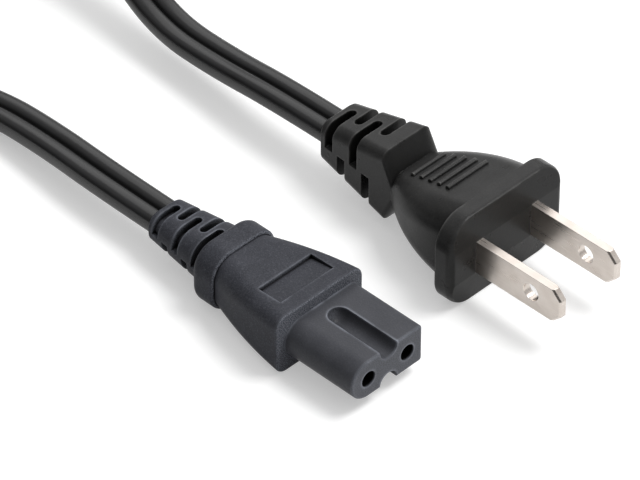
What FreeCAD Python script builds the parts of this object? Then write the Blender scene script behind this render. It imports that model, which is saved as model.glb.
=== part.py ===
# Power lead with a polarised figure-eight connector, a flat twin cord and a two-blade mains plug.
# Millimetres, +Z up. The connector's nose points along +X and the lead lies on the plane z = 0.
import FreeCAD, Part
import math
import os
import Sketcher

Vector = FreeCAD.Vector
doc = FreeCAD.newDocument("power_lead")
sheet = doc.addObject("Spreadsheet::Sheet", "sizes")

# Driving dimensions, one cell each.
SIZES = {
    # Connector nose: a round lobe on -Y, a square lobe on +Y.
    "noseLength": 14.8,
    "noseHeight": 7.2,
    "contactPitch": 8.6,
    "squareReach": 3.3,
    "squareCorner": 0.55,
    "noseEdge": 0.35,
    "grooveRadius": 1.9,
    "grooveDepth": 2.05,
    "grooveShift": 0.2,
    "grooveLength": 12.6,
    "tongueLength": 6.0,
    "tongueWidth": 13.4,
    "tongueHeight": 5.2,
    "tongueCorner": 1.2,
    # Pin holes and the spring contacts behind them.
    "entryRadius": 1.45,
    "lipThickness": 2.2,
    "pinBoreRadius": 1.25,
    "sleeveWall": 0.5,
    "sleeveLength": 9.6,
    "sleeveSlit": 0.5,
    "barrelRadius": 1.2,
    "barrelLength": 7.0,
    # Connector body, from its front face back to the cord.
    "bodyLength": 16.8,
    "bodyWidth": 19.2,
    "bodyHeight": 11.6,
    "bodyCorner": 2.3,
    "bellyWidth": 17.4,
    "bellyFall": 0.3,
    "bellyCorner": 2.8,
    "waistStep": 0.7,
    "bellyStation": 7.6,
    "collarLength": 4.8,
    "collarWidth": 14.4,
    "collarCorner": 4.4,
    "collarEdge": 1.4,
    "stepEdge": 0.6,
    "rimEdge": 0.35,
    "labelLength": 11.6,
    "labelWidth": 4.9,
    "labelDepth": 0.75,
    "labelFront": 0.3,
    "labelMargin": 2.8,
    # Strain relief behind the collar.
    "reliefLength": 13.2,
    "reliefRearWidth": 8.2,
    "reliefRearHeight": 5.8,
    "reliefShoulder": 1.65,
    "reliefRoundness": 0.45,
    "reliefEdge": 0.5,
    "slotWidth": 1.5,
    "slotPitch": 2.5,
    "slotStart": 2.1,
    "slotOverlap": 0.5,
    "slotFloor": 0.1,
    # Flat twin cord.
    "cordWidth": 6.8,
    "cordHeight": 3.4,
    "cordRest": 0.05,
    "wireRadius": 0.6,
    "wireGrip": 3.0,
    # Mains plug, from the face of its flange back to the cord.
    "plugFaceX": 19.3,
    "plugFaceY": 32.7,
    "bladeLength": 18.0,
    "bladeHeight": 6.35,
    "bladeThickness": 1.5,
    "bladePitch": 12.7,
    "bladeTail": 9.0,
    "bladeTip": 1.6,
    "bladeEdge": 0.3,
    "bladeHole": 1.6,
    "bladeHoleReach": 11.7,
    "flangeWidth": 26.0,
    "flangeHeight": 17.4,
    "flangeThickness": 3.4,
    "flangeCorner": 5.2,
    "flangeEdge": 1.2,
    "faceFall": 0.6,
    "gripWidth": 20.2,
    "gripCorner": 5.0,
    "gripMidWidth": 16.8,
    "gripRise": 0.3,
    "gripMidCorner": 3.8,
    "gripMidStation": 15.4,
    "neckWidth": 11.2,
    "neckHeight": 6.6,
    "neckCorner": 2.6,
    "neckStation": 20.1,
    "blockWidth": 11.0,
    "blockHeight": 14.2,
    "blockCorner": 1.7,
    "blockStation": 22.3,
    "plugRearWidth": 9.2,
    "plugRearHeight": 8.4,
    "plugRearCorner": 2.4,
    "plugLength": 37.4,
    "plugSlotWidth": 1.8,
    "plugSlotPitch": 2.9,
    "plugSlotStart": 2.4,
    "ribLength": 9.0,
    "ribShortening": 0.42,
    "ribWidth": 0.9,
    "ribRise": 0.55,
    "ribPitch": 2.1,
    "ribFirst": 8.9,
    # Hank that holds the put-away length of the cord, and its tie.
    "hankReach": 130.0,
    "hankEndRadius": 24.0,
    "hankWaist": 7.5,
    "hankLayers": 4,
    "hankLayer": 3.5,
    "hankFront": 93.0,
    "hankMiddleY": 18.3,
    "hankStub": 20.0,
    "tieWidth": 5.0,
    "tieThickness": 0.9,
}

for row, (alias, value) in enumerate(SIZES.items(), start=1):
    sheet.set(f"A{row}", alias)
    sheet.set(f"B{row}", str(value))
    sheet.setAlias(f"B{row}", alias)
doc.recompute()


def size(alias):
    return float(sheet.get(alias))


def origin_plane(body, role):
    for feature in body.Origin.OriginFeatures:
        if feature.Role == role:
            return feature
    raise RuntimeError("no origin plane " + role)


def new_sketch(body, name, role, station="0"):
    sketch = body.newObject("Sketcher::SketchObject", name)
    sketch.AttachmentSupport = [(origin_plane(body, role), "")]
    sketch.MapMode = "FlatFace"
    sketch.setExpression("AttachmentOffset.Base.z", station)
    return sketch


def bind(sketch, kind, references, expression):
    """Adds a driving dimension whose value follows an expression of the sheet."""
    value = sketch.evalExpression(expression)
    index = sketch.addConstraint(Sketcher.Constraint(kind, *references, float(value)))
    sketch.setExpression(f"Constraints[{index}]", expression)


def arc(center_x, center_y, radius, start, end):
    circle = Part.Circle(Vector(center_x, center_y, 0), Vector(0, 0, 1), radius)
    return Part.ArcOfCircle(circle, math.radians(start), math.radians(end))


def line(start, end):
    return Part.LineSegment(Vector(start[0], start[1], 0), Vector(end[0], end[1], 0))


def rounded_rectangle(body, name, station, width, height, corner):
    """Cross-section with round corners, centred on the X axis at a station along it."""
    sketch = new_sketch(body, name, "YZ_Plane", station)
    half_width = float(sketch.evalExpression(width)) / 2
    half_height = float(sketch.evalExpression(height)) / 2
    radius = float(sketch.evalExpression(corner))
    flat_x = half_width - radius
    flat_y = half_height - radius
    sketch.addGeometry([
        line((-flat_x, half_height), (flat_x, half_height)),
        arc(flat_x, flat_y, radius, 0, 90),
        line((half_width, flat_y), (half_width, -flat_y)),
        arc(flat_x, -flat_y, radius, 270, 360),
        line((flat_x, -half_height), (-flat_x, -half_height)),
        arc(-flat_x, -flat_y, radius, 180, 270),
        line((-half_width, -flat_y), (-half_width, flat_y)),
        arc(-flat_x, flat_y, radius, 90, 180),
    ])
    for side in (0, 2, 4, 6):
        before = (side - 1) % 8
        after = side + 1
        sketch.addConstraint(Sketcher.Constraint("Tangent", side, 1, before, 1))
        sketch.addConstraint(Sketcher.Constraint("Tangent", side, 2, after, 2))
    for side, kind in ((0, "Horizontal"), (2, "Vertical"), (4, "Horizontal"), (6, "Vertical")):
        sketch.addConstraint(Sketcher.Constraint(kind, side))
    for corner_arc in (3, 5, 7):
        sketch.addConstraint(Sketcher.Constraint("Equal", 1, corner_arc))
    sketch.addConstraint(Sketcher.Constraint("Symmetric", 0, 1, 4, 1, -1, 1))
    bind(sketch, "DistanceX", (6, 1, 2, 1), width)
    bind(sketch, "DistanceY", (4, 1, 0, 1), height)
    bind(sketch, "Radius", (1,), corner)
    return sketch


def loft(body, name, sections):
    feature = body.newObject("PartDesign::AdditiveLoft", name)
    feature.Profile = sections[0]
    feature.Sections = sections[1:]
    doc.recompute()
    return feature


def pad(body, name, sketch, length, backward=False):
    feature = body.newObject("PartDesign::Pad", name)
    feature.Profile = sketch
    feature.setExpression("Length", length)
    feature.Reversed = backward
    doc.recompute()
    return feature


def edges_where(shape, test):
    return [f"Edge{i}" for i, edge in enumerate(shape.Edges, start=1) if test(edge)]


def round_edges(body, name, base, test, radius):
    feature = body.newObject("PartDesign::Fillet", name)
    feature.Base = (base, edges_where(base.Shape, test))
    feature.setExpression("Radius", radius)
    doc.recompute()
    return feature


def lies_at(edge, x):
    box = edge.BoundBox
    return abs(box.XMin - x) < 0.01 and abs(box.XMax - x) < 0.01


def primitive(kind, name, sizes, place):
    """Part primitive whose sizes and position follow expressions of the sheet."""
    solid = doc.addObject("Part::" + kind, name)
    for prop, expression in sizes.items():
        solid.setExpression(prop, expression)
    for axis, expression in zip("xyz", place):
        solid.setExpression("Placement.Base." + axis, expression)
    return solid


def lay_along_x(solid):
    solid.Placement.Rotation = FreeCAD.Rotation(Vector(0, 1, 0), 90)
    return solid


def fused(name, solids):
    fuse = doc.addObject("Part::MultiFuse", name)
    fuse.Shapes = solids
    return fuse


def cut(name, base, tool):
    feature = doc.addObject("Part::Cut", name)
    feature.Base = base
    feature.Tool = tool
    doc.recompute()
    if not feature.Shape.Volume < base.Shape.Volume - 1e-6:
        raise RuntimeError(name + " removed nothing")
    return feature


# Stations along the connector, measured from its front face, and along the plug from its flange.
COLLAR_FRONT = "-sizes.bodyLength"
COLLAR_REAR = "-(sizes.bodyLength + sizes.collarLength)"
CONNECTOR_REAR = "-(sizes.bodyLength + sizes.collarLength + sizes.reliefLength)"
PLUG_REAR = "-sizes.plugLength"
SLEEVE_FRONT = "sizes.noseLength - sizes.lipThickness"
SLEEVE_REAR = "sizes.noseLength - sizes.lipThickness - sizes.sleeveLength"
BARREL_REAR = SLEEVE_REAR + " - sizes.barrelLength"
BEND_SHARE = 0.45


def relief_slots(prefix, rear, count, pitch, start, width, reach):
    """Cutter for the staggered slots: each runs over one quarter of the relief, down to the parting line."""
    core = doc.addObject("PartDesign::Body", prefix + "_core")
    section = rounded_rectangle(core, prefix + "_core_section", f"{rear} - {reach}",
                                "sizes.cordWidth + 2 * sizes.slotFloor",
                                "sizes.cordHeight + 2 * sizes.slotFloor",
                                "(sizes.cordHeight + 2 * sizes.slotFloor) * sizes.reliefRoundness")
    pad(core, prefix + "_core_pad", section, f"3 * {reach}")
    cutters = []
    for station in range(count):
        place = f"{rear} + {start} + {station} * {pitch}"
        side = -1 if station % 2 == 0 else 1
        for half in (1, -1):
            across = side * half
            tag = f"{prefix}_{station}_{'top' if half > 0 else 'bottom'}"
            inner = f"{-across} * sizes.slotOverlap"
            low_y = inner if across > 0 else f"{inner} - {reach}"
            low_z = "0" if half > 0 else f"-{reach}"
            slot = {"Length": width, "Width": reach, "Height": reach}
            cutters.append(primitive("Box", tag + "_slot", slot, (f"{place} - {width} / 2", low_y, low_z)))
            end = {"Radius": f"{width} / 2", "Height": reach}
            cutters.append(primitive("Cylinder", tag + "_end", end, (place, inner, low_z)))
    return cut(prefix + "_slots", fused(prefix + "_slot_blanks", cutters), core)


def on_collar_rear(edge):
    """Tells the collar's rear rim from the foot of the relief, which lies a shoulder further in."""
    box = edge.BoundBox
    inset = size("reliefShoulder") / 2
    beyond_side = max(abs(box.YMin), abs(box.YMax)) > size("collarWidth") / 2 - inset
    beyond_top = max(abs(box.ZMin), abs(box.ZMax)) > size("bodyHeight") / 2 - inset
    return lies_at(edge, -(size("bodyLength") + size("collarLength"))) and (beyond_side or beyond_top)


def on_collar_front(edge):
    return lies_at(edge, -size("bodyLength"))


def relief_lip(body, prefix, rear, width, height, corner):
    """Sloping lip at the very end of a strain relief, where the cord comes out."""
    inset = "sizes.reliefEdge"
    small = rounded_rectangle(body, prefix + "_lip_end", rear, f"{width} - 2 * {inset}",
                              f"{height} - 2 * {inset}", f"{corner} - {inset}")
    full = rounded_rectangle(body, prefix + "_lip_root", f"{rear} + {inset}", width, height, corner)
    loft(body, prefix + "_lip", [small, full])


def build_connector_body():
    body = doc.addObject("PartDesign::Body", "connector_shell")
    relief_lip(body, "relief", CONNECTOR_REAR, "sizes.reliefRearWidth", "sizes.reliefRearHeight",
               "sizes.reliefRearHeight * sizes.reliefRoundness")
    rear = rounded_rectangle(body, "relief_rear", CONNECTOR_REAR + " + sizes.reliefEdge",
                             "sizes.reliefRearWidth", "sizes.reliefRearHeight",
                             "sizes.reliefRearHeight * sizes.reliefRoundness")
    width = "sizes.collarWidth - 2 * sizes.reliefShoulder"
    height = "(sizes.bodyHeight - 2 * sizes.reliefShoulder)"
    front = rounded_rectangle(body, "relief_front", COLLAR_REAR, width, height,
                              f"{height} * sizes.reliefRoundness")
    loft(body, "relief_taper", [rear, front])
    ring = rounded_rectangle(body, "collar_section", COLLAR_REAR, "sizes.collarWidth",
                             "sizes.bodyHeight", "sizes.collarCorner")
    collar = pad(body, "collar", ring, "sizes.collarLength")
    collar = round_edges(body, "collar_round", collar, on_collar_rear, "sizes.collarEdge")
    round_edges(body, "step_round", collar, on_collar_front, "sizes.stepEdge")
    sections = [
        rounded_rectangle(body, "body_waist", COLLAR_FRONT, "sizes.collarWidth - 2 * sizes.waistStep",
                          "sizes.bodyHeight - 2 * sizes.waistStep", "sizes.collarCorner - sizes.waistStep"),
        rounded_rectangle(body, "body_belly", "-sizes.bellyStation", "sizes.bellyWidth",
                          "sizes.bodyHeight - 2 * sizes.bellyFall", "sizes.bellyCorner"),
        rounded_rectangle(body, "body_front", "0", "sizes.bodyWidth", "sizes.bodyHeight", "sizes.bodyCorner"),
    ]
    grip = loft(body, "body_flare", sections)
    round_edges(body, "rim_round", grip, lambda edge: lies_at(edge, 0.0), "sizes.rimEdge")
    return body


def label_recess(body):
    """Bare panel sunk into the top of the connector, deep at its rear edge and running out to the front."""
    sketch = new_sketch(body, "label_outline", "XZ_Plane")
    front = -size("labelMargin")
    rear = front - size("labelWidth")
    top = size("bodyHeight") / 2
    high = top + size("labelDepth")
    low = top - size("labelDepth")
    corners = [(front, high), (rear, high), (rear, low), (front, top - size("labelFront"))]
    sketch.addGeometry([line(corners[i], corners[(i + 1) % 4]) for i in range(4)])
    for i in range(4):
        sketch.addConstraint(Sketcher.Constraint("Coincident", i, 2, (i + 1) % 4, 1))
    for i, kind in ((0, "Horizontal"), (1, "Vertical"), (3, "Vertical")):
        sketch.addConstraint(Sketcher.Constraint(kind, i))
    bind(sketch, "DistanceX", (0, 1, -1, 1), "sizes.labelMargin")
    bind(sketch, "DistanceX", (0, 2, 0, 1), "sizes.labelWidth")
    slope = "sizes.bellyFall / sizes.bellyStation"
    bind(sketch, "DistanceY", (-1, 1, 0, 1), "sizes.bodyHeight / 2 + sizes.labelDepth")
    bind(sketch, "DistanceY", (-1, 1, 2, 1), "sizes.bodyHeight / 2 - sizes.labelDepth"
         f" - {slope} * (sizes.labelMargin + sizes.labelWidth)")
    bind(sketch, "DistanceY", (-1, 1, 3, 1), "sizes.bodyHeight / 2 - sizes.labelFront"
         f" - {slope} * sizes.labelMargin")
    before = body.Shape.Volume
    recess = body.newObject("PartDesign::Pocket", "label_recess")
    recess.Profile = sketch
    recess.Midplane = True
    recess.setExpression("Length", "sizes.labelLength")
    doc.recompute()
    if not recess.Shape.Volume < before:
        raise RuntimeError("the label recess removed nothing")


def build_nose_block():
    """Figure-eight nose before its bores: one round end, one square end, and a tongue inside the body."""
    body = doc.addObject("PartDesign::Body", "nose_block")
    tongue = rounded_rectangle(body, "tongue_section", "0", "sizes.tongueWidth",
                               "sizes.tongueHeight", "sizes.tongueCorner")
    pad(body, "tongue", tongue, "sizes.tongueLength", backward=True)
    sketch = new_sketch(body, "nose_outline", "YZ_Plane")
    lobe = size("noseHeight") / 2
    round_y = -size("contactPitch") / 2
    square_y = size("contactPitch") / 2 + size("squareReach")
    corner = size("squareCorner")
    sketch.addGeometry([
        line((round_y, lobe), (square_y - corner, lobe)),
        arc(square_y - corner, lobe - corner, corner, 0, 90),
        line((square_y, lobe - corner), (square_y, corner - lobe)),
        arc(square_y - corner, corner - lobe, corner, 270, 360),
        line((square_y - corner, -lobe), (round_y, -lobe)),
        arc(round_y, 0, lobe, 90, 270),
    ])
    for first, point, second, other in ((0, 2, 1, 2), (2, 1, 1, 1), (2, 2, 3, 2), (4, 1, 3, 1),
                                        (4, 2, 5, 2), (0, 1, 5, 1)):
        sketch.addConstraint(Sketcher.Constraint("Tangent", first, point, second, other))
    sketch.addConstraint(Sketcher.Constraint("Horizontal", 0))
    sketch.addConstraint(Sketcher.Constraint("Vertical", 2))
    sketch.addConstraint(Sketcher.Constraint("Horizontal", 4))
    sketch.addConstraint(Sketcher.Constraint("Equal", 1, 3))
    sketch.addConstraint(Sketcher.Constraint("PointOnObject", 5, 3, -1))
    bind(sketch, "DistanceX", (5, 3, -1, 1), "sizes.contactPitch / 2")
    bind(sketch, "DistanceX", (5, 3, 2, 1), "sizes.contactPitch + sizes.squareReach")
    bind(sketch, "Radius", (5,), "sizes.noseHeight / 2")
    bind(sketch, "Radius", (1,), "sizes.squareCorner")
    nose = pad(body, "nose", sketch, "sizes.noseLength")
    front = size("noseLength")
    round_edges(body, "nose_edge", nose, lambda edge: lies_at(edge, front), "sizes.noseEdge")
    return body


def nose_grooves():
    """Cutter for the two grooves between the lobes, run in from the front with a round-ended tool."""
    cutters = []
    end = "sizes.noseLength - sizes.grooveLength + sizes.grooveRadius"
    for half in (1, -1):
        tag = "top" if half > 0 else "bottom"
        place_z = f"{half} * (sizes.noseHeight / 2 + sizes.grooveRadius - sizes.grooveDepth)"
        run = {"Radius": "sizes.grooveRadius", "Height": "sizes.grooveLength"}
        place = (end, "sizes.grooveShift", place_z)
        cutters.append(lay_along_x(primitive("Cylinder", tag + "_groove", run, place)))
        ball = {"Radius": "sizes.grooveRadius"}
        cutters.append(primitive("Sphere", tag + "_groove_end", ball, place))
    return fused("nose_grooves", cutters)


def build_contact(name, side):
    """Spring sleeve with a slit, on a crimp barrel, and the two blanks that its bore is cut with."""
    place_y = f"{side} * sizes.contactPitch / 2"
    sleeve = {"Radius": "sizes.pinBoreRadius + sizes.sleeveWall", "Height": "sizes.sleeveLength"}
    blank = lay_along_x(primitive("Cylinder", name + "_sleeve", sleeve, (SLEEVE_REAR, place_y, "0")))
    barrel = {"Radius": "sizes.barrelRadius", "Height": "sizes.barrelLength"}
    tail = lay_along_x(primitive("Cylinder", name + "_barrel", barrel, (BARREL_REAR, place_y, "0")))
    bore = {"Radius": "sizes.pinBoreRadius", "Height": "sizes.sleeveLength"}
    hole = lay_along_x(primitive("Cylinder", name + "_bore", bore,
                                 (SLEEVE_REAR + " + sizes.sleeveWall", place_y, "0")))
    grip = {"Radius": "sizes.wireRadius", "Height": "sizes.wireGrip"}
    crimp = lay_along_x(primitive("Cylinder", name + "_crimp", grip, (BARREL_REAR, place_y, "0")))
    slit = {"Length": "sizes.sleeveLength", "Width": "sizes.sleeveSlit",
            "Height": "sizes.pinBoreRadius + 2 * sizes.sleeveWall"}
    slot = primitive("Box", name + "_slit", slit, (SLEEVE_REAR + " + 2 * sizes.sleeveWall",
                                                   place_y + " - sizes.sleeveSlit / 2", "0"))
    stock = fused(name + "_stock", [blank, tail])
    return cut(name, stock, fused(name + "_openings", [hole, crimp, slot])), [blank, tail]


def rounded_path(points):
    """Straight runs joined by tangent arcs, each taking up the same share of the shorter of its two runs."""
    edges = []
    start = points[0]
    for before, corner, after in zip(points, points[1:], points[2:]):
        back = before - corner
        ahead = after - corner
        half_turn = (math.pi - back.getAngle(ahead)) / 2
        reach = BEND_SHARE * min(back.Length, ahead.Length)
        radius = reach / math.tan(half_turn)
        inner = Vector(back).normalize() + Vector(ahead).normalize()
        middle = corner + inner.normalize() * (radius / math.cos(half_turn) - radius)
        enter = corner + Vector(back).normalize() * reach
        leave = corner + Vector(ahead).normalize() * reach
        edges.append(Part.LineSegment(start, enter).toShape())
        edges.append(Part.Arc(enter, middle, leave).toShape())
        start = leave
    edges.append(Part.LineSegment(start, points[-1]).toShape())
    return Part.Wire(edges)


def build_wire(name, points):
    """Copper core inside a moulding, from its crimp or blade back to the cord, and the way it runs in."""
    path = rounded_path(points)
    ring = Part.Wire(Part.makeCircle(size("wireRadius"), points[0], points[1] - points[0]))
    wire = doc.addObject("Part::Feature", name)
    wire.Shape = path.makePipeShell([ring], True, False)
    way = doc.addObject("Part::Feature", name + "_way")
    way.Shape = wire.Shape
    return wire, way


def connector_wire(name, side):
    contact_y = side * size("contactPitch") / 2
    cord_y = side * size("cordWidth") / 4
    front = size("noseLength") - size("lipThickness") - size("sleeveLength")
    front = front - size("barrelLength") + size("wireGrip")
    rear = -(size("bodyLength") + size("collarLength") + size("reliefLength"))
    split = rear + size("reliefLength")
    return build_wire(name, [
        Vector(front, contact_y, 0),
        Vector(-size("tongueLength") - size("wireGrip"), contact_y, 0),
        Vector(split, cord_y, 0),
        Vector(rear, cord_y, 0),
    ])


def plug_wire(name, side):
    blade_y = side * size("bladePitch") / 2
    cord_y = side * size("cordWidth") / 4
    return build_wire(name, [
        Vector(-size("bladeTail"), blade_y, 0),
        Vector(-size("bladeTail") - size("wireGrip"), blade_y, 0),
        Vector(-size("neckStation"), cord_y, 0),
        Vector(-size("plugLength"), cord_y, 0),
    ])


def build_blade(name, side):
    """Flat contact blade with a bevelled tip and a round hole, and the plate that its seat is cut with."""
    body = doc.addObject("PartDesign::Body", name + "_plate")
    sketch = new_sketch(body, name + "_outline", "XZ_Plane", f"{-side} * sizes.bladePitch / 2")
    tail = -size("bladeTail")
    tip = size("bladeLength")
    bevel = size("bladeTip")
    half = size("bladeHeight") / 2
    corners = [(tail, -half), (tip - bevel, -half), (tip, bevel - half),
               (tip, half - bevel), (tip - bevel, half), (tail, half)]
    count = len(corners)
    sketch.addGeometry([line(corners[i], corners[(i + 1) % count]) for i in range(count)])
    for i in range(count):
        sketch.addConstraint(Sketcher.Constraint("Coincident", i, 2, (i + 1) % count, 1))
    for i in (0, 4):
        sketch.addConstraint(Sketcher.Constraint("Horizontal", i))
    sketch.addConstraint(Sketcher.Constraint("Symmetric", 2, 1, 2, 2, -1))
    sketch.addConstraint(Sketcher.Constraint("Symmetric", 5, 1, 5, 2, -1))
    bind(sketch, "DistanceX", (5, 2, -1, 1), "sizes.bladeTail")
    bind(sketch, "DistanceX", (-1, 1, 2, 1), "sizes.bladeLength")
    bind(sketch, "DistanceY", (5, 2, 5, 1), "sizes.bladeHeight")
    bind(sketch, "DistanceX", (1, 1, 1, 2), "sizes.bladeTip")
    bind(sketch, "DistanceY", (1, 1, 1, 2), "sizes.bladeTip")
    plate = pad(body, name + "_pad", sketch, "sizes.bladeThickness")
    plate.Midplane = True
    doc.recompute()

    def on_tip(edge):
        box = edge.BoundBox
        return box.XMax > 0.01 and box.XMin > tip - bevel - 0.01 and box.YLength < 0.01

    bevels = body.newObject("PartDesign::Chamfer", name + "_bevel")
    bevels.Base = (plate, edges_where(plate.Shape, on_tip))
    bevels.setExpression("Size", "sizes.bladeEdge")
    doc.recompute()
    drill = {"Radius": "sizes.bladeHole", "Height": "4 * sizes.bladeThickness"}
    place_y = f"{side} * sizes.bladePitch / 2 + 2 * sizes.bladeThickness"
    hole = primitive("Cylinder", name + "_drill", drill, ("sizes.bladeHoleReach", place_y, "0"))
    hole.Placement.Rotation = FreeCAD.Rotation(Vector(1, 0, 0), 90)
    return cut(name, body, hole), body


def grip_share(station):
    """How far a station of the grip lies on the way from the neck to the flange, from 0 to 1."""
    return f"((sizes.neckStation - {station}) / (sizes.neckStation - sizes.flangeThickness))"


def grip_surface(station):
    """Height of the grip's crowned top over the plug's axis at a station."""
    share = grip_share(station)
    middle = grip_share("sizes.gripMidStation")
    straight = f"(sizes.neckHeight + (sizes.flangeHeight - sizes.neckHeight) * {share}) / 2"
    crown = f"sizes.gripRise * {share} * (1 - {share}) / ({middle} * (1 - {middle}))"
    return f"{straight} + {crown}"


def build_plug_shell():
    """Plug moulding: slotted tail swelling to a thumb stop, a thin neck, a flared grip and a flange."""
    body = doc.addObject("PartDesign::Body", "plug_shell")
    relief_lip(body, "tail", PLUG_REAR, "sizes.plugRearWidth", "sizes.plugRearHeight", "sizes.plugRearCorner")
    tail = [
        rounded_rectangle(body, "plug_rear", PLUG_REAR + " + sizes.reliefEdge", "sizes.plugRearWidth",
                          "sizes.plugRearHeight", "sizes.plugRearCorner"),
        rounded_rectangle(body, "block_front", "-sizes.blockStation", "sizes.blockWidth",
                          "sizes.blockHeight", "sizes.blockCorner"),
    ]
    loft(body, "plug_tail", tail)
    stop = [
        rounded_rectangle(body, "stop_top", "-sizes.blockStation", "sizes.blockWidth",
                          "sizes.blockHeight", "sizes.blockCorner"),
        rounded_rectangle(body, "stop_foot", "-sizes.neckStation", "sizes.neckWidth",
                          "sizes.neckHeight", "sizes.neckCorner"),
    ]
    loft(body, "thumb_stop", stop)
    grip = [
        rounded_rectangle(body, "grip_neck", "-sizes.neckStation", "sizes.neckWidth",
                          "sizes.neckHeight", "sizes.neckCorner"),
        rounded_rectangle(body, "grip_middle", "-sizes.gripMidStation", "sizes.gripMidWidth",
                          f"2 * ({grip_surface('sizes.gripMidStation')})", "sizes.gripMidCorner"),
        rounded_rectangle(body, "grip_front", "-sizes.flangeThickness", "sizes.gripWidth",
                          "sizes.flangeHeight", "sizes.gripCorner"),
    ]
    loft(body, "grip_flare", grip)
    section = rounded_rectangle(body, "flange_section", "-sizes.flangeThickness", "sizes.flangeWidth",
                                "sizes.flangeHeight", "sizes.flangeCorner")
    flange = pad(body, "flange", section, "sizes.flangeThickness")
    round_edges(body, "flange_round", flange, lambda edge: lies_at(edge, 0.0), "sizes.flangeEdge")
    sketch = new_sketch(body, "face_fall", "XZ_Plane")
    level = size("bladeHeight") / 2
    rim = size("flangeHeight") / 2
    for half in (1, -1):
        first = sketch.GeometryCount
        corners = [(0, half * level), (0, half * rim), (-size("faceFall"), half * rim)]
        sketch.addGeometry([line(corners[i], corners[(i + 1) % 3]) for i in range(3)])
        for i in range(3):
            sketch.addConstraint(Sketcher.Constraint("Coincident", first + i, 2, first + (i + 1) % 3, 1))
        sketch.addConstraint(Sketcher.Constraint("PointOnObject", first, 1, -2))
        sketch.addConstraint(Sketcher.Constraint("Vertical", first))
        sketch.addConstraint(Sketcher.Constraint("Horizontal", first + 1))
        low, high = ((-1, 1), (first, 1)) if half > 0 else ((first, 1), (-1, 1))
        bind(sketch, "DistanceY", low + high, "sizes.bladeHeight / 2")
        low, high = ((-1, 1), (first, 2)) if half > 0 else ((first, 2), (-1, 1))
        bind(sketch, "DistanceY", low + high, "sizes.flangeHeight / 2")
        bind(sketch, "DistanceX", (first + 1, 2, first + 1, 1), "sizes.faceFall")
    before = body.Shape.Volume
    fall = body.newObject("PartDesign::Pocket", "face_slopes")
    fall.Profile = sketch
    fall.Midplane = True
    fall.setExpression("Length", "2 * sizes.flangeWidth")
    doc.recompute()
    if not fall.Shape.Volume < before:
        raise RuntimeError("the flange's face has no slopes")
    return body


def grip_ribs():
    """Round finger ribs across the sloping top and bottom of the grip, shorter towards the neck."""
    ribs = []
    for half in (1, -1):
        for number in range(5):
            place = f"(sizes.ribFirst + {number} * sizes.ribPitch)"
            length = f"(sizes.ribLength - {number} * sizes.ribShortening)"
            name = f"rib_{'top' if half > 0 else 'bottom'}_{number}"
            rib = {"Radius": "sizes.ribWidth / 2", "Height": length}
            height = f"{half} * ({grip_surface(place)} + sizes.ribRise - sizes.ribWidth / 2)"
            bar = primitive("Cylinder", name, rib, (f"-{place}", f"{length} / 2", height))
            bar.Placement.Rotation = FreeCAD.Rotation(Vector(1, 0, 0), 90)
            ribs.append(bar)
    return ribs


def build_cord_run(name, points):
    """Plain flat tube along a stretch of cord that isn't wound up."""
    path = rounded_path(points)
    half = size("cordHeight") / 2
    flat = size("cordWidth") / 2 - half
    start = points[0]
    at = lambda y, z: start + Vector(0, y, z)
    outline = Part.Wire([
        Part.LineSegment(at(-flat, half), at(flat, half)).toShape(),
        Part.Arc(at(flat, half), at(flat + half, 0), at(flat, -half)).toShape(),
        Part.LineSegment(at(flat, -half), at(-flat, -half)).toShape(),
        Part.Arc(at(-flat, -half), at(-flat - half, 0), at(-flat, half)).toShape(),
    ])
    sweep = Part.BRepOffsetAPI.MakePipeShell(path)
    sweep.setBiNormalMode(Vector(0, 0, 1))
    sweep.add(outline)
    sweep.build()
    sweep.makeSolid()
    run = doc.addObject("Part::Feature", name)
    run.Shape = sweep.shape()
    section = Part.Face(outline).Area
    share = run.Shape.Volume / (section * path.Length)
    print(name, "length", round(path.Length, 1), "volume share", round(share, 4))
    return run


# The hank's turns lie on each other, and its tie goes round them at the waist.
HANK_HEIGHT = "sizes.hankLayers * sizes.hankLayer + 2 * sizes.tieThickness"
HANK_TOP_LAYER = "sizes.cordRest + (sizes.hankLayers - 1) * sizes.hankLayer"


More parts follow.
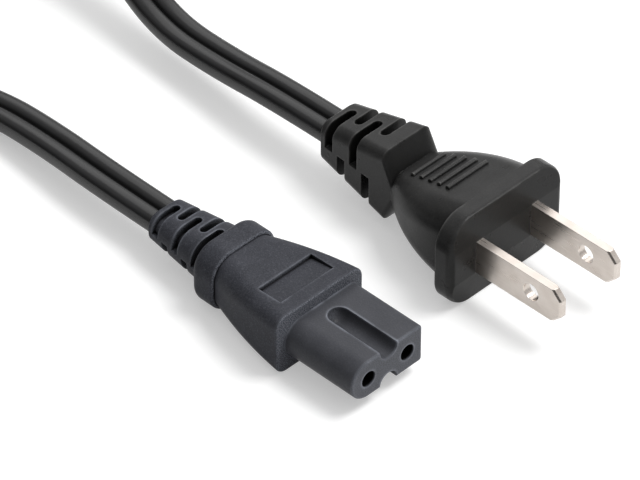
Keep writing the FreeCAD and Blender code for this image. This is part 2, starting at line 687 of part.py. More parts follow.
def build_hank():
    """Outer shape of the wound length: two round ends drawn together at the waist by the tie."""
    body = doc.addObject("PartDesign::Body", "hank_form")
    sketch = new_sketch(body, "hank_outline", "XY_Plane")
    half_reach = size("hankReach") / 2
    end = size("hankEndRadius")
    waist = size("hankWaist")
    hollow = (half_reach ** 2 + waist ** 2 - end ** 2) / (2 * (end - waist))
    turn = math.degrees(math.acos(-half_reach / (end + hollow)))
    swing = math.degrees(math.asin(half_reach / (end + hollow)))
    sketch.addGeometry([
        arc(half_reach, 0, end, -turn, turn),
        arc(0, waist + hollow, hollow, 270 - swing, 270 + swing),
        arc(-half_reach, 0, end, 180 - turn, 180 + turn),
        arc(0, -waist - hollow, hollow, 90 - swing, 90 + swing),
    ])
    for first, point, second, other in ((0, 2, 1, 2), (1, 1, 2, 1), (2, 2, 3, 2), (3, 1, 0, 1)):
        sketch.addConstraint(Sketcher.Constraint("Tangent", first, point, second, other))
    sketch.addConstraint(Sketcher.Constraint("PointOnObject", 0, 3, -1))
    sketch.addConstraint(Sketcher.Constraint("Symmetric", 0, 3, 2, 3, -1, 1))
    sketch.addConstraint(Sketcher.Constraint("Equal", 0, 2))
    sketch.addConstraint(Sketcher.Constraint("Equal", 1, 3))
    bind(sketch, "DistanceX", (2, 3, 0, 3), "sizes.hankReach")
    bind(sketch, "Radius", (0,), "sizes.hankEndRadius")
    drawn = "(sizes.hankReach ^ 2 / 4 + sizes.hankWaist ^ 2 - sizes.hankEndRadius ^ 2)"
    bind(sketch, "Radius", (1,), drawn + " / (2 * (sizes.hankEndRadius - sizes.hankWaist))")
    pad(body, "hank_pad", sketch, HANK_HEIGHT)
    stubs = []
    for tag, side, lift in (("in", -1, "sizes.cordRest"), ("out", 1, HANK_TOP_LAYER)):
        low_y = "-sizes.hankEndRadius" if side < 0 else "sizes.hankEndRadius - sizes.cordWidth"
        block = {"Length": "sizes.hankStub", "Width": "sizes.cordWidth", "Height": "sizes.cordHeight"}
        stubs.append(primitive("Box", "hank_lead_" + tag, block, ("sizes.hankReach / 2", low_y, lift)))
    wound = fused("hank_wound", [body] + stubs)
    band = {"Length": "sizes.tieWidth", "Width": "2 * sizes.hankWaist + sizes.tieThickness",
            "Height": HANK_HEIGHT}
    outer = primitive("Box", "tie_outer", band, ("-sizes.tieWidth / 2",
                                                 "-sizes.hankWaist - sizes.tieThickness / 2", "0"))
    gap = {"Length": "2 * sizes.tieWidth", "Width": "2 * (sizes.hankWaist - sizes.tieThickness)",
           "Height": HANK_HEIGHT + " - 2 * sizes.tieThickness"}
    inner = primitive("Box", "tie_inner", gap, ("-sizes.tieWidth",
                                                "sizes.tieThickness - sizes.hankWaist", "sizes.tieThickness"))
    ring = cut("tie_ring", outer, inner)
    twist = {"Radius": "sizes.tieThickness", "Height": "2 * sizes.tieWidth"}
    knot = primitive("Cylinder", "tie_twist", twist, ("0", "sizes.tieWidth", HANK_HEIGHT))
    knot.Placement.Rotation = FreeCAD.Rotation(Vector(1, 0, 0), 90)
    return cut("cord_hank", wound, ring), fused("cord_tie", [ring, knot])


# The connector: moulded body, nose insert, two spring contacts and their wires.
connector_shell = build_connector_body()
label_recess(connector_shell)
nose_block = build_nose_block()
round_contact, round_blanks = build_contact("contact_round_side", -1)
square_contact, square_blanks = build_contact("contact_square_side", 1)
round_wire, round_way = connector_wire("connector_wire_round_side", -1)
square_wire, square_way = connector_wire("connector_wire_square_side", 1)
connector_slots = relief_slots("relief", CONNECTOR_REAR, 5, "sizes.slotPitch", "sizes.slotStart",
                               "sizes.slotWidth", "sizes.bodyWidth")
entries = []
for side, tag in ((-1, "round"), (1, "square")):
    entry = {"Radius": "sizes.entryRadius", "Height": "2 * sizes.lipThickness"}
    place = (SLEEVE_FRONT, f"{side} * sizes.contactPitch / 2", "0")
    entries.append(lay_along_x(primitive("Cylinder", tag + "_entry", entry, place)))
ways = [round_way, square_way]
nose_tools = fused("nose_tools", [nose_grooves()] + entries + round_blanks + square_blanks + ways)
connector_nose = cut("connector_nose", nose_block, nose_tools)
connector_body = cut("connector_body", connector_shell,
                     fused("connector_tools", [nose_block, connector_slots] + ways))
connector_parts = [connector_body, connector_nose, round_contact, square_contact, round_wire, square_wire]

# The plug: moulded body, two blades and their wires.
near_blade, near_plate = build_blade("plug_blade_near", -1)
far_blade, far_plate = build_blade("plug_blade_far", 1)
near_wire, near_way = plug_wire("plug_wire_near", -1)
far_wire, far_way = plug_wire("plug_wire_far", 1)
plug_slots = relief_slots("tail", PLUG_REAR, 4, "sizes.plugSlotPitch", "sizes.plugSlotStart",
                          "sizes.plugSlotWidth", "sizes.flangeWidth")
plug_form = fused("plug_form", [build_plug_shell()] + grip_ribs())
plug_tools = fused("plug_tools", [near_plate, far_plate, near_way, far_way, plug_slots])
plug_body = cut("plug_body", plug_form, plug_tools)
plug_parts = [plug_body, near_blade, far_blade, near_wire, far_wire]

# The cord: a run from each moulding, and the hank between them.
cord_hank, cord_tie = build_hank()
connector_rear = -(size("noseLength") + size("bodyLength") + size("collarLength") + size("reliefLength")) / 2
plug_rear = size("plugFaceX") - size("plugLength")
floor_z = size("cordRest") + size("cordHeight") / 2
hank_end = -(size("hankFront") + size("hankEndRadius") - size("hankStub"))
column = size("hankEndRadius") - size("cordWidth") / 2
side_in = size("hankMiddleY") - column
side_out = size("hankMiddleY") + column
top_z = floor_z + (size("hankLayers") - 1) * size("hankLayer")
connector_run = build_cord_run("cord_connector_run", [
    Vector(connector_rear, 0, size("bodyHeight") / 2),
    Vector(-38.0, 0, size("bodyHeight") / 2),
    Vector(-53.0, 1.4, 4.7),
    Vector(-68.0, 2.0, 3.2),
    Vector(-83.0, side_in, floor_z),
    Vector(hank_end, side_in, floor_z),
])
plug_run = build_cord_run("cord_plug_run", [
    Vector(plug_rear, size("plugFaceY"), size("flangeHeight") / 2),
    Vector(-31.0, size("plugFaceY"), size("flangeHeight") / 2),
    Vector(-45.0, 33.6, 6.6),
    Vector(-59.5, 34.4, 5.9),
    Vector(-72.5, 37.0, 9.6),
    Vector(-85.0, side_out, top_z),
    Vector(hank_end, side_out, top_z),
])

# Each group of pieces goes to its place in the lead.
CONNECTOR_SHIFT = "(sizes.bodyLength + sizes.collarLength + sizes.reliefLength - sizes.noseLength) / 2"
HANK_SHIFT = "-(sizes.hankFront + sizes.hankEndRadius + sizes.hankReach / 2)"
for pieces, place in (
    (connector_parts, (CONNECTOR_SHIFT, "0", "sizes.bodyHeight / 2")),
    (plug_parts, ("sizes.plugFaceX", "sizes.plugFaceY", "sizes.flangeHeight / 2")),
    ([cord_hank, cord_tie], (HANK_SHIFT, "sizes.hankMiddleY", "0")),
):
    for piece in pieces:
        for axis, expression in zip("xyz", place):
            piece.setExpression("Placement.Base." + axis, expression)
doc.recompute()

NODES = connector_parts + plug_parts + [connector_run, plug_run, cord_hank, cord_tie]
for feature in doc.Objects:
    if "Invalid" in feature.State or "Error" in feature.State:
        raise RuntimeError(feature.Name + " is not sound: " + feature.getStatusString())
for node in NODES:
    if node.Shape.isNull() or not node.Shape.isValid() or len(node.Shape.Solids) != 1:
        raise RuntimeError(node.Label + " is not one valid solid")
    box = node.Shape.optimalBoundingBox()
    print(node.Label, "volume", round(node.Shape.Volume, 1), "lowest", round(box.ZMin, 3))

os.makedirs("parts", exist_ok=True)
for node in NODES:
    node.Shape.exportStep(os.path.join("parts", node.Label + ".step"))
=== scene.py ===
import math
import bpy
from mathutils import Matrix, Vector


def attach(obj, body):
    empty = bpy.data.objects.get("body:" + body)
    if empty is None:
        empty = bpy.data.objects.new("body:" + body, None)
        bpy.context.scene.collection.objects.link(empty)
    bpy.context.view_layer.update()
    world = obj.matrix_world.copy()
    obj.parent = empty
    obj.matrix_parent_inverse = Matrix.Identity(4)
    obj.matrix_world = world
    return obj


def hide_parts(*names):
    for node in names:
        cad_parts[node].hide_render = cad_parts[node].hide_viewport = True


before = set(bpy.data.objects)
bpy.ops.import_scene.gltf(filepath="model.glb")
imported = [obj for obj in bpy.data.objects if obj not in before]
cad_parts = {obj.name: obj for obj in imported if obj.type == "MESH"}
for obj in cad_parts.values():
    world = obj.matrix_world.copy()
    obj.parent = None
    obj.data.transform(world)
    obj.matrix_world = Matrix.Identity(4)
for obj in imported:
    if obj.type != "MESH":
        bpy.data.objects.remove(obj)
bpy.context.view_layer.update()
mm = 0.001


# shared helpers
def addNode(tree, kind, **sockets):
    node = tree.nodes.new(kind)
    for socket, value in sockets.items():
        node.inputs[socket].default_value = value
    return node


def addRange(tree, value, fromLow, fromHigh, toLow, toHigh):
    span = tree.nodes.new("ShaderNodeMapRange")
    for socket, number in zip(span.inputs[1:5], (fromLow, fromHigh, toLow, toHigh)):
        socket.default_value = number
    tree.links.new(value, span.inputs["Value"])
    return span.outputs["Result"]


def addMath(tree, operation, first, second):
    node = tree.nodes.new("ShaderNodeMath")
    node.operation = operation
    for socket, value in zip(node.inputs, (first, second)):
        if isinstance(value, float):
            socket.default_value = value
        else:
            tree.links.new(value, socket)
    return node.outputs[0]


# camera: same angle and framing as the picture, long lens
cameraSet = {
    "azimuth": 44.7,
    "elevation": 41.0,
    "target": (-4.1 * mm, 14.3 * mm, 5.0 * mm),
    "distance": 0.80,
    "viewWidth": 101.8 * mm,      # what the picture is wide, at the target
    "sensorWidth": 36.0,          # millimetres, as Blender takes it
    "clipStart": 0.01,
}


def placeCamera():
    turn = math.radians(cameraSet["azimuth"])
    rise = math.radians(cameraSet["elevation"])
    flat = math.cos(rise)
    back = Vector((math.sin(turn) * flat, -math.cos(turn) * flat, math.sin(rise)))
    lens = bpy.data.cameras.new("pictureCamera")
    lens.sensor_fit = "HORIZONTAL"
    lens.sensor_width = cameraSet["sensorWidth"]
    lens.lens = cameraSet["sensorWidth"] * cameraSet["distance"] / cameraSet["viewWidth"]
    lens.clip_start = cameraSet["clipStart"]
    eye = bpy.data.objects.new("pictureCamera", lens)
    bpy.context.collection.objects.link(eye)
    eye.location = Vector(cameraSet["target"]) + back * cameraSet["distance"]
    eye.rotation_euler = back.to_track_quat("Z", "Y").to_euler()
    bpy.context.scene.camera = eye


placeCamera()
print("camera placed")

# light: white floor, a big soft sky that is bright on one side, and two window lamps
lightSet = {
    "brightSide": (0.10, 0.66, 0.76),     # where the sky is brightest
    "skySpan": (-0.20, 0.85),             # how far from there it is dim, and how near it is bright
    "skyBright": 0.85,
    "skyDim": 0.06,
    "windows": {                          # power, size and place of the lamps
        "sideWindow": (4.1, 0.34, (0.22, 0.30, 0.70)),
        "backWindow": (0.95, 0.50, (-0.42, 0.43, 0.52)),
    },
    "floorColor": (0.70, 0.70, 0.697, 1.0),
    "floorGlow": 0.40,
    "floorSize": 0.60,
    "floorMiddle": (-0.085, 0.018, 0.0),
    "ground": 1.0,                        # the world below the horizon, past the floor's edge
    "horizonHalf": 0.02,                  # half of the blend from ground to sky
}


def seenDirectly(tree):
    # 1 for the camera and for mirrored or clear views, 0 for light that falls on the part
    path = tree.nodes.new("ShaderNodeLightPath").outputs
    either = addMath(tree, "MAXIMUM", path["Is Camera Ray"], path["Is Glossy Ray"])
    return addMath(tree, "MAXIMUM", either, path["Is Transmission Ray"])


def makeSky():
    world = bpy.data.worlds.new("studioSky")
    bpy.context.scene.world = world
    world.use_nodes = True
    tree = world.node_tree
    tree.nodes.clear()
    way = tree.nodes.new("ShaderNodeTexCoord")
    side = tree.nodes.new("ShaderNodeVectorMath")
    side.operation = "DOT_PRODUCT"
    side.inputs[1].default_value = lightSet["brightSide"]
    tree.links.new(way.outputs["Generated"], side.inputs[0])
    level = addRange(tree, side.outputs["Value"], *lightSet["skySpan"],
                     lightSet["skyDim"], lightSet["skyBright"])
    split = tree.nodes.new("ShaderNodeSeparateXYZ")
    tree.links.new(way.outputs["Generated"], split.inputs[0])
    half = lightSet["horizonHalf"]
    below = addRange(tree, split.outputs["Z"], -half, half, lightSet["ground"], 0.0)
    sky = addNode(tree, "ShaderNodeBackground", Color=(1, 1, 1, 1))
    tree.links.new(addMath(tree, "MAXIMUM", level, below), sky.inputs["Strength"])
    out = tree.nodes.new("ShaderNodeOutputWorld")
    tree.links.new(sky.outputs[0], out.inputs["Surface"])


def hangWindow(name, power, size, place):
    window = bpy.data.lights.new(name, "AREA")
    window.size = size
    window.energy = power
    lamp = bpy.data.objects.new(name, window)
    bpy.context.collection.objects.link(lamp)
    lamp.location = place
    lamp.rotation_euler = Vector(place).to_track_quat("Z", "Y").to_euler()


def layFloor():
    bpy.ops.mesh.primitive_plane_add(size=lightSet["floorSize"], location=lightSet["floorMiddle"])
    floor = bpy.context.active_object
    floor.name = "whiteFloor"
    paper = bpy.data.materials.new("whitePaper")
    paper.use_nodes = True
    tree = paper.node_tree
    tree.nodes.clear()
    matt = addNode(tree, "ShaderNodeBsdfDiffuse", Color=lightSet["floorColor"])
    glow = addNode(tree, "ShaderNodeEmission", Color=(1, 1, 1, 1))
    level = addMath(tree, "MULTIPLY", seenDirectly(tree), lightSet["floorGlow"])
    tree.links.new(level, glow.inputs["Strength"])
    both = tree.nodes.new("ShaderNodeAddShader")
    tree.links.new(matt.outputs[0], both.inputs[0])
    tree.links.new(glow.outputs[0], both.inputs[1])
    out = tree.nodes.new("ShaderNodeOutputMaterial")
    tree.links.new(both.outputs[0], out.inputs["Surface"])
    floor.data.materials.append(paper)


makeSky()
for name, (power, size, place) in lightSet["windows"].items():
    hangWindow(name, power, size, place)
layFloor()
bpy.context.scene.view_settings.view_transform = "Standard"
print("light set")

# finishes: what all of them share; each look below gives sizes in metres or features per metre
finishSet = {
    "occlusionSamples": 8,
    "bevelSamples": 6,
    "cloudDetail": 3.0,           # finer layers in each noise
    "grainDetail": 2.0,
    "sparkDetail": 1.0,
    "streakDetail": 3.0,
    "tarnishDetail": 2.0,
    "noiseSpan": (0.3, 0.7),      # where noise goes from one tone to the other
    "fleckSpan": (0.52, 0.78),
    "streakSpan": (0.45, 0.75),
    "edgeLightBreakSpan": (0.40, 0.62),      # breaks the lightened edges up, which are partly rubbed wear and partly painted highlight
    "edgeLightLeast": 0.25,
    "frontSpan": (0.5, 0.9),      # share of a face's normal that looks along the part
    "socketRim": 1.04,            # the holes' shade ends this far out, in radii
    "socketLip": 0.4 * mm,        # and is full this deep
}


def addNoise(tree, place, scale, detail, stretch=(1.0, 1.0, 1.0)):
    turn = addNode(tree, "ShaderNodeMapping", Scale=stretch)
    tree.links.new(place, turn.inputs["Vector"])
    noise = addNode(tree, "ShaderNodeTexNoise", Scale=scale, Detail=detail)
    tree.links.new(turn.outputs["Vector"], noise.inputs["Vector"])
    return noise.outputs["Fac"]


def addBlend(tree, share, first, second):
    blend = tree.nodes.new("ShaderNodeMix")
    blend.data_type = "RGBA"
    tree.links.new(share, blend.inputs[0])
    for socket, color in ((blend.inputs[6], first), (blend.inputs[7], second)):
        if isinstance(color, tuple):
            socket.default_value = color + (1.0,)
        else:
            tree.links.new(color, socket)
    return blend.outputs[2]


def edgeShare(tree, reach, span):
    # 1 on a sharp outer edge, 0 on a flat face
    inside = addNode(tree, "ShaderNodeAmbientOcclusion", Distance=reach)
    inside.inside = True
    inside.only_local = True
    inside.samples = finishSet["occlusionSamples"]
    return addRange(tree, inside.outputs["AO"], *span, 1.0, 0.0)


def crevice(tree, reach, span):
    # 1 deep in a corner, 0 on an open face
    around = addNode(tree, "ShaderNodeAmbientOcclusion", Distance=reach)
    around.only_local = True
    around.samples = finishSet["occlusionSamples"]
    return addRange(tree, around.outputs["AO"], *span, 1.0, 0.0)


def frontShare(tree):
    # 1 on faces that look along the part, 0 on its top and sides
    way = tree.nodes.new("ShaderNodeTexCoord")
    split = tree.nodes.new("ShaderNodeSeparateXYZ")
    tree.links.new(way.outputs["Normal"], split.inputs[0])
    return addRange(tree, split.outputs["X"], *finishSet["frontSpan"], 0.0, 1.0)


def softNormal(tree, radius):
    # rounds every edge a little in the shading
    soft = addNode(tree, "ShaderNodeBevel", Radius=radius)
    soft.samples = finishSet["bevelSamples"]
    return soft.outputs["Normal"]


def addBump(tree, height, strength, distance, base):
    bump = addNode(tree, "ShaderNodeBump", Strength=strength, Distance=distance)
    tree.links.new(height, bump.inputs["Height"])
    tree.links.new(base, bump.inputs["Normal"])
    return bump.outputs["Normal"]


def addShare(tree, share, amount, tone, color):
    # lays a colour over the tone, by a share that goes up to the amount
    return addBlend(tree, addMath(tree, "MULTIPLY", share, amount), tone, color)


def newMaterial(name):
    material = bpy.data.materials.new(name)
    material.use_nodes = True
    tree = material.node_tree
    shader = tree.nodes["Principled BSDF"]
    place = tree.nodes.new("ShaderNodeTexCoord").outputs["Object"]
    return material, tree, shader, place


def mouldedPlastic(name, look):
    material, tree, shader, place = newMaterial(name)
    cloud = addNoise(tree, place, look["cloudScale"], finishSet["cloudDetail"], look["stretch"])
    grain = addNoise(tree, place, look["grainScale"], finishSet["grainDetail"], look["stretch"])
    spark = addNoise(tree, place, look["sparkScale"], finishSet["sparkDetail"], look["stretch"])
    front = frontShare(tree)

    # tone: clouded base, flecks, sparks that also paint light on the front faces, painted shade on the
    # front, edges lightened as wear and painted highlight, painted shade in creases and corners
    clouded = addRange(tree, cloud, *finishSet["noiseSpan"], 0.0, 1.0)
    tone = addBlend(tree, clouded, look["dark"], look["light"])
    fleck = addRange(tree, grain, *finishSet["fleckSpan"], 0.0, look["fleck"])
    tone = addBlend(tree, fleck, tone, look["wornAndHighlight"])
    # sparks: spark-eroded grain, thicker on the faces that look along the part, which also makes those
    # faces paler as painted light
    sparkled = addRange(tree, spark, *look["sparkSpan"], 0.0, 1.0)
    sparkAndFrontLight = addRange(tree, front, 0.0, 1.0, look["spark"], look["frontSparkAndLight"])
    tone = addShare(tree, sparkled, sparkAndFrontLight, tone, look["wornAndHighlight"])
    # painted shade: the faces that look along the part are darkened towards the shade colour
    tone = addShare(tree, front, look["frontShade"], tone, look["shade"])
    # edges lightened, partly as rubbed wear and partly as painted highlight
    edges = edgeShare(tree, look["edgeReach"], look["edgeSpan"])
    broken = addRange(tree, cloud, *finishSet["edgeLightBreakSpan"], finishSet["edgeLightLeast"], 1.0)
    tone = addShare(tree, addMath(tree, "MULTIPLY", edges, broken), look["edgeLighten"], tone, look["wornAndHighlight"])
    # painted shade in tight creases and grooves
    creaseShade = crevice(tree, look["creaseShadeReach"], look["creaseShadeSpan"])
    tone = addShare(tree, creaseShade, look["creaseShade"], tone, look["shade"])
    # painted shade deeper in corners, slots and holes
    deep = crevice(tree, look["creviceReach"], look["creviceSpan"])
    tone = addShare(tree, deep, look["cornerShade"], tone, look["shade"])
    tree.links.new(tone, shader.inputs["Base Color"])

    dullness = addRange(tree, cloud, *finishSet["noiseSpan"], look["smooth"], look["rough"])
    tree.links.new(dullness, shader.inputs["Roughness"])
    soft = softNormal(tree, look["softEdge"])
    wave = addBump(tree, cloud, look["waveStrength"], look["waveDepth"], soft)
    skin = addBump(tree, grain, look["grainStrength"], look["grainDepth"], wave)
    tree.links.new(skin, shader.inputs["Normal"])
    shader.inputs["Specular IOR Level"].default_value = look["gloss"]
    return material


def drawnMetal(name, look):
    material, tree, shader, place = newMaterial(name)
    streak = addNoise(tree, place, look["streakScale"], finishSet["streakDetail"], look["stretch"])
    tarnish = addNoise(tree, place, look["tarnishScale"], finishSet["tarnishDetail"])

    # tone: tarnished base, streaks along the strip, bright edges
    tarnished = addRange(tree, tarnish, *finishSet["noiseSpan"], 0.0, 1.0)
    tone = addBlend(tree, tarnished, look["dark"], look["light"])
    scratched = addRange(tree, streak, *finishSet["streakSpan"], 0.0, look["streak"])
    tone = addBlend(tree, scratched, tone, look["scratch"])
    edges = edgeShare(tree, look["edgeReach"], look["edgeSpan"])
    tone = addShare(tree, edges, look["edgeLighten"], tone, look["scratch"])
    tree.links.new(tone, shader.inputs["Base Color"])

    dullness = addRange(tree, streak, *finishSet["noiseSpan"], look["smooth"], look["rough"])
    tree.links.new(dullness, shader.inputs["Roughness"])
    soft = softNormal(tree, look["softEdge"])
    skin = addBump(tree, streak, look["streakStrength"], look["streakDepth"], soft)
    tree.links.new(skin, shader.inputs["Normal"])
    shader.inputs["Metallic"].default_value = 1.0
    return material


def paintSocketShade(material, look):
    # painted shade: the two pin holes are painted black inside, whatever light falls on the nose
    tree = material.node_tree
    skin = tree.nodes["Principled BSDF"].inputs["Base Color"]
    tone = skin.links[0].from_socket
    split = tree.nodes.new("ShaderNodeSeparateXYZ")
    tree.links.new(tree.nodes.new("ShaderNodeTexCoord").outputs["Object"], split.inputs[0])
    x, y, z = split.outputs
    aside = addMath(tree, "SUBTRACT", addMath(tree, "ABSOLUTE", y, 0.0), look["socketAside"])
    above = addMath(tree, "SUBTRACT", z, look["socketHeight"])
    offSquared = addMath(tree, "ADD", addMath(tree, "MULTIPLY", aside, aside),
                         addMath(tree, "MULTIPLY", above, above))
    radius = look["socketRadius"]
    rim = radius * finishSet["socketRim"]
    within = addRange(tree, offSquared, radius ** 2, rim ** 2, 1.0, 0.0)
    mouth = look["socketMouth"]
    sunk = addRange(tree, x, mouth - finishSet["socketLip"], mouth, 1.0, 0.0)
    tree.links.new(addShare(tree, within, sunk, tone, look["shade"]), skin)


def paint(material, *names):
    for name in names:
        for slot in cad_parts[name].material_slots:
            slot.material = material


# connector body: charcoal moulding with a spark-eroded skin, its front faces made paler with painted
# light
connectorLook = {
    "dark": (0.034, 0.0352, 0.042), "light": (0.046, 0.0472, 0.056),
    "wornAndHighlight": (0.255, 0.270, 0.310), "shade": (0.003, 0.003, 0.003),
    "cloudScale": 260.0, "grainScale": 2600.0, "sparkScale": 5200.0, "stretch": (1.0, 1.0, 1.0),
    "fleck": 0.10, "spark": 0.08, "frontSparkAndLight": 0.74, "sparkSpan": (0.34, 0.72), "frontShade": 0.0,
    "edgeReach": 0.55 * mm, "edgeSpan": (0.62, 0.92), "edgeLighten": 0.42, "softEdge": 0.18 * mm,
    "creaseShadeReach": 0.55 * mm, "creaseShadeSpan": (0.48, 0.82), "creaseShade": 0.75,
    "creviceReach": 3.4 * mm, "creviceSpan": (0.25, 0.62), "cornerShade": 0.98,
    "waveStrength": 0.25, "waveDepth": 0.12 * mm, "grainStrength": 0.32, "grainDepth": 0.10 * mm,
    "smooth": 0.38, "rough": 0.50, "gloss": 0.05,
}
connectorPlastic = mouldedPlastic("connectorPlastic", connectorLook)
paint(connectorPlastic, "connector_body")

# connector nose: the same charcoal, a little paler, with a finer and flatter skin
noseLook = {
    **connectorLook,
    "dark": (0.048, 0.0492, 0.056), "light": (0.059, 0.0602, 0.068), "shade": (0.002, 0.002, 0.002),
    "grainScale": 3200.0, "grainStrength": 0.20,
    "fleck": 0.06, "spark": 0.06, "frontSparkAndLight": 0.38, "sparkSpan": (0.22, 0.78),
    "edgeSpan": (0.64, 0.94), "edgeLighten": 0.75,
    "creviceSpan": (0.28, 0.72), "cornerShade": 0.9,
    "smooth": 0.30, "rough": 0.40, "gloss": 0.08,
    "socketAside": 4.3 * mm, "socketHeight": 5.8 * mm, "socketRadius": 1.47 * mm,
    "socketMouth": 24.78 * mm,    # where the holes start, along the part
}
nosePlastic = mouldedPlastic("nosePlastic", noseLook)
paintSocketShade(nosePlastic, noseLook)
paint(nosePlastic, "connector_nose")

# mains plug: neutral black moulding, a little glossier, with painted shade on its front faces
plugLook = {
    "dark": (0.024, 0.0238, 0.0236), "light": (0.033, 0.0327, 0.0324),
    "wornAndHighlight": (0.13, 0.128, 0.125), "shade": (0.003, 0.003, 0.0027),
    "cloudScale": 300.0, "grainScale": 2900.0, "sparkScale": 3800.0, "stretch": (1.0, 1.0, 1.0),
    "fleck": 0.05, "spark": 0.06, "frontSparkAndLight": 0.0, "sparkSpan": (0.52, 0.68), "frontShade": 0.55,
    "edgeReach": 0.5 * mm, "edgeSpan": (0.60, 0.92), "edgeLighten": 0.5, "softEdge": 0.25 * mm,
    "creaseShadeReach": 0.9 * mm, "creaseShadeSpan": (0.50, 0.90), "creaseShade": 0.6,
    "creviceReach": 4.5 * mm, "creviceSpan": (0.25, 0.80), "cornerShade": 0.9,
    "waveStrength": 0.22, "waveDepth": 0.10 * mm, "grainStrength": 0.16, "grainDepth": 0.08 * mm,
    "smooth": 0.26, "rough": 0.36, "gloss": 0.12,
}
plugPlastic = mouldedPlastic("plugPlastic", plugLook)
paint(plugPlastic, "plug_body")

# hank's tie: covered wire, dull black
tieLook = {
    **plugLook,
    "grainScale": 1800.0, "grainStrength": 0.3, "smooth": 0.5, "rough": 0.65,
}
tieCover = mouldedPlastic("tieCover", tieLook)
paint(tieCover, "cord_tie")

# plug blades: nickel-plated strip, drawn along its length
bladeLook = {
    "dark": (0.52, 0.465, 0.42), "light": (0.61, 0.555, 0.51), "scratch": (0.78, 0.74, 0.70),
    "tarnishScale": 320.0, "streakScale": 2600.0, "stretch": (0.05, 1.0, 1.0),
    "streak": 0.15, "streakStrength": 0.06, "streakDepth": 0.04 * mm,
    "edgeReach": 0.3 * mm, "edgeSpan": (0.45, 0.92), "edgeLighten": 0.6, "softEdge": 0.14 * mm,
    "smooth": 0.26, "rough": 0.33,
}
bladeNickel = drawnMetal("bladeNickel", bladeLook)
paint(bladeNickel, "plug_blade_near", "plug_blade_far")

# spring sleeves: bare brass
brassLook = {
    **bladeLook,
    "dark": (0.50, 0.36, 0.15), "light": (0.62, 0.46, 0.22), "scratch": (0.74, 0.60, 0.34),
    "streak": 0.25,
}
sleeveBrass = drawnMetal("sleeveBrass", brassLook)
paint(sleeveBrass, "contact_round_side", "contact_square_side")

# wire cores: dull copper strands
copperLook = {
    **bladeLook,
    "dark": (0.46, 0.20, 0.10), "light": (0.60, 0.29, 0.16), "scratch": (0.72, 0.42, 0.28),
    "smooth": 0.32, "rough": 0.50,
}
wireCopper = drawnMetal("wireCopper", copperLook)
paint(wireCopper, "connector_wire_round_side", "connector_wire_square_side")
paint(wireCopper, "plug_wire_near", "plug_wire_far")
print("finishes painted")

# cord jacket: extruded, so its marks run along the cord
cordLook = {
    "dark": (0.013, 0.013, 0.0134), "light": (0.020, 0.020, 0.0205),
    "wornAndHighlight": (0.07, 0.07, 0.07), "shade": (0.002, 0.002, 0.002),
    "cloudScale": 420.0, "grainScale": 2400.0, "sparkScale": 3600.0, "stretch": (0.12, 1.0, 1.0),
    "fleck": 0.06, "spark": 0.04, "frontSparkAndLight": 0.04, "sparkSpan": (0.52, 0.68), "frontShade": 0.0,
    "edgeReach": 0.4 * mm, "edgeSpan": (0.45, 0.92), "edgeLighten": 0.0, "softEdge": 0.08 * mm,
    "creaseShadeReach": 0.7 * mm, "creaseShadeSpan": (0.40, 0.80), "creaseShade": 0.9,
    "creviceReach": 1.2 * mm, "creviceSpan": (0.25, 0.70), "cornerShade": 1.0,
    "waveStrength": 0.20, "waveDepth": 0.10 * mm, "grainStrength": 0.10, "grainDepth": 0.06 * mm,
    "smooth": 0.19, "rough": 0.26, "gloss": 0.30,
}
cordJacket = mouldedPlastic("cordJacket", cordLook)

# cord: flat pair of cores with a groove between, from the connector through the hank to the plug
cordSet = {
    "width": 6.8 * mm,
    "height": 3.4 * mm,
    "grooveHalf": 0.40 * mm,      # half of the web's height in the groove
    "squareness": 0.72,           # 1 for round cores, less for squarer ones
    "coreSteps": 17,              # points around each core
    "routeSteps": 8,              # sections drawn for each point of the route
    "fromConnector": [            # route in millimetres
        (-24.8, 0.0, 5.8), (-38.0, 0.0, 5.8), (-53.0, 1.4, 4.7), (-68.0, 2.0, 3.2), (-83.0, -2.3, 1.75),
    ],
    "toPlug": [
        (-85.0, 38.9, 12.25), (-72.5, 37.0, 9.6), (-59.5, 34.4, 5.9), (-45.0, 33.6, 6.6),
        (-31.0, 32.7, 8.7), (-18.1, 32.7, 8.7),
    ],
    "hankNear": -117.0,           # middle of the hank's near end
    "hankReach": 130.0,           # between the middles of its ends
    "hankMiddleY": 18.3,
    "outerRadius": 24.0,          # of the hank's outline at its ends
    "outerWaist": 7.5,
    "columnInset": 3.4,           # from the outline to the cord's middle
    "layers": 4,
    "layerHeight": 3.5,
    "firstLayer": 1.75,
    "tieLift": 0.9,               # the turns ride up on the tie at the waist
    "bowSteps": 2,                # route points on each half side of the hank
    "farSteps": 8,                # on its far end
    "nearSteps": 6,               # on its near end, where the next layer starts
}


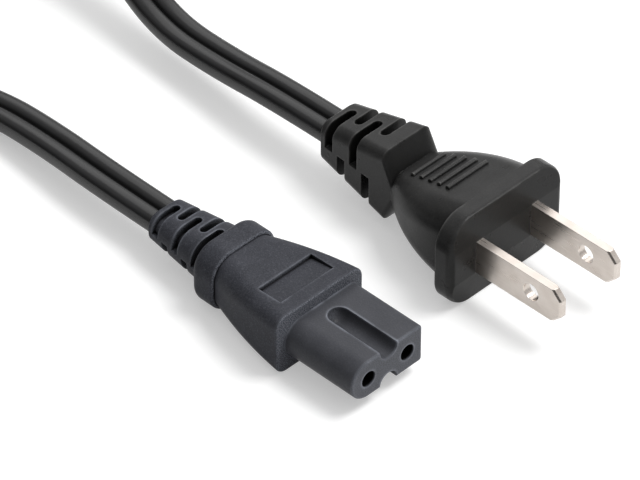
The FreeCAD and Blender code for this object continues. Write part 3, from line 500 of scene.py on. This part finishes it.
def hankRoute():
    # round ends joined by sides that bow in to the waist, layer on layer
    reach = cordSet["hankReach"] / 2
    outer = cordSet["outerRadius"]
    waist = cordSet["outerWaist"]
    inset = cordSet["columnInset"]
    hollow = (reach ** 2 + waist ** 2 - outer ** 2) / (2 * (outer - waist))
    turn = math.degrees(math.acos(-reach / (outer + hollow)))
    bowHalf = turn - 90
    middleX = cordSet["hankNear"] - reach
    points = []

    def alongArc(centreX, centreY, radius, start, end, steps, lowZ, highZ):
        step = (end - start) / steps
        reachOut = radius / math.cos(math.radians(step) / 2)
        for number in range(steps):
            share = (number + 0.5) / steps
            angle = math.radians(start + step * (number + 0.5))
            points.append((middleX + centreX + reachOut * math.cos(angle),
                           cordSet["hankMiddleY"] + centreY + reachOut * math.sin(angle),
                           lowZ + (highZ - lowZ) * share))

    ring = outer - inset
    bow = hollow + inset
    bowY = waist + hollow
    lift = cordSet["tieLift"]
    bowSteps, farSteps, nearSteps = cordSet["bowSteps"], cordSet["farSteps"], cordSet["nearSteps"]
    for layer in range(cordSet["layers"]):
        level = cordSet["firstLayer"] + layer * cordSet["layerHeight"]
        alongArc(reach, 0, ring, -90, -turn, 1, level, level)
        alongArc(0, -bowY, bow, 90 - bowHalf, 90, bowSteps, level, level + lift)
        alongArc(0, -bowY, bow, 90, 90 + bowHalf, bowSteps, level + lift, level)
        alongArc(-reach, 0, ring, 180 + turn, 180 - turn, farSteps, level, level)
        alongArc(0, bowY, bow, 270 - bowHalf, 270, bowSteps, level, level + lift)
        alongArc(0, bowY, bow, 270, 270 + bowHalf, bowSteps, level + lift, level)
        alongArc(reach, 0, ring, turn, 90, 1, level, level)
        if layer < cordSet["layers"] - 1:
            alongArc(reach, 0, ring, 90, -90, nearSteps, level, level + cordSet["layerHeight"])
    return points


def cordProfile():
    half = cordSet["height"] / 2
    across = cordSet["width"] / 2 - half
    opening = math.asin(cordSet["grooveHalf"] / half)
    steps = cordSet["coreSteps"]
    points = []

    def squared(share):
        return math.copysign(abs(share) ** cordSet["squareness"], share)

    for side in (1, -1):
        for number in range(steps):
            angle = (math.pi - opening) * (2 * number / (steps - 1) - 1)
            x = across + half * squared(math.cos(angle))
            y = half * squared(math.sin(angle))
            points.append((side * x, side * y))
    shape = bpy.data.curves.new("cordSection", "CURVE")
    shape.dimensions = "2D"
    line = shape.splines.new("POLY")
    line.points.add(len(points) - 1)
    for point, (x, y) in zip(line.points, points):
        point.co = (x / mm, y / mm, 0, 1)
    line.use_cyclic_u = True
    section = bpy.data.objects.new("cordSection", shape)
    bpy.context.collection.objects.link(section)
    section.hide_render = True
    return section


def makeCord():
    route = cordSet["fromConnector"] + hankRoute() + cordSet["toPlug"]
    shape = bpy.data.curves.new("flatCord", "CURVE")
    shape.dimensions = "3D"
    shape.twist_mode = "Z_UP"
    shape.resolution_u = cordSet["routeSteps"]
    shape.bevel_mode = "OBJECT"
    shape.bevel_object = cordProfile()
    shape.use_fill_caps = True
    line = shape.splines.new("NURBS")
    line.points.add(len(route) - 1)
    for point, place in zip(line.points, route):
        point.co = (*[v * mm for v in place], 1)
        point.radius = mm         # brings the section, drawn in millimetres, to size
    line.order_u = 3
    line.use_endpoint_u = True
    cord = bpy.data.objects.new("flatCord", shape)
    bpy.context.collection.objects.link(cord)
    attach(cord, "root")
    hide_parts("cord_connector_run", "cord_plug_run", "cord_hank")
    shape.materials.append(cordJacket)
    return cord


cord = makeCord()
print("cord laid")
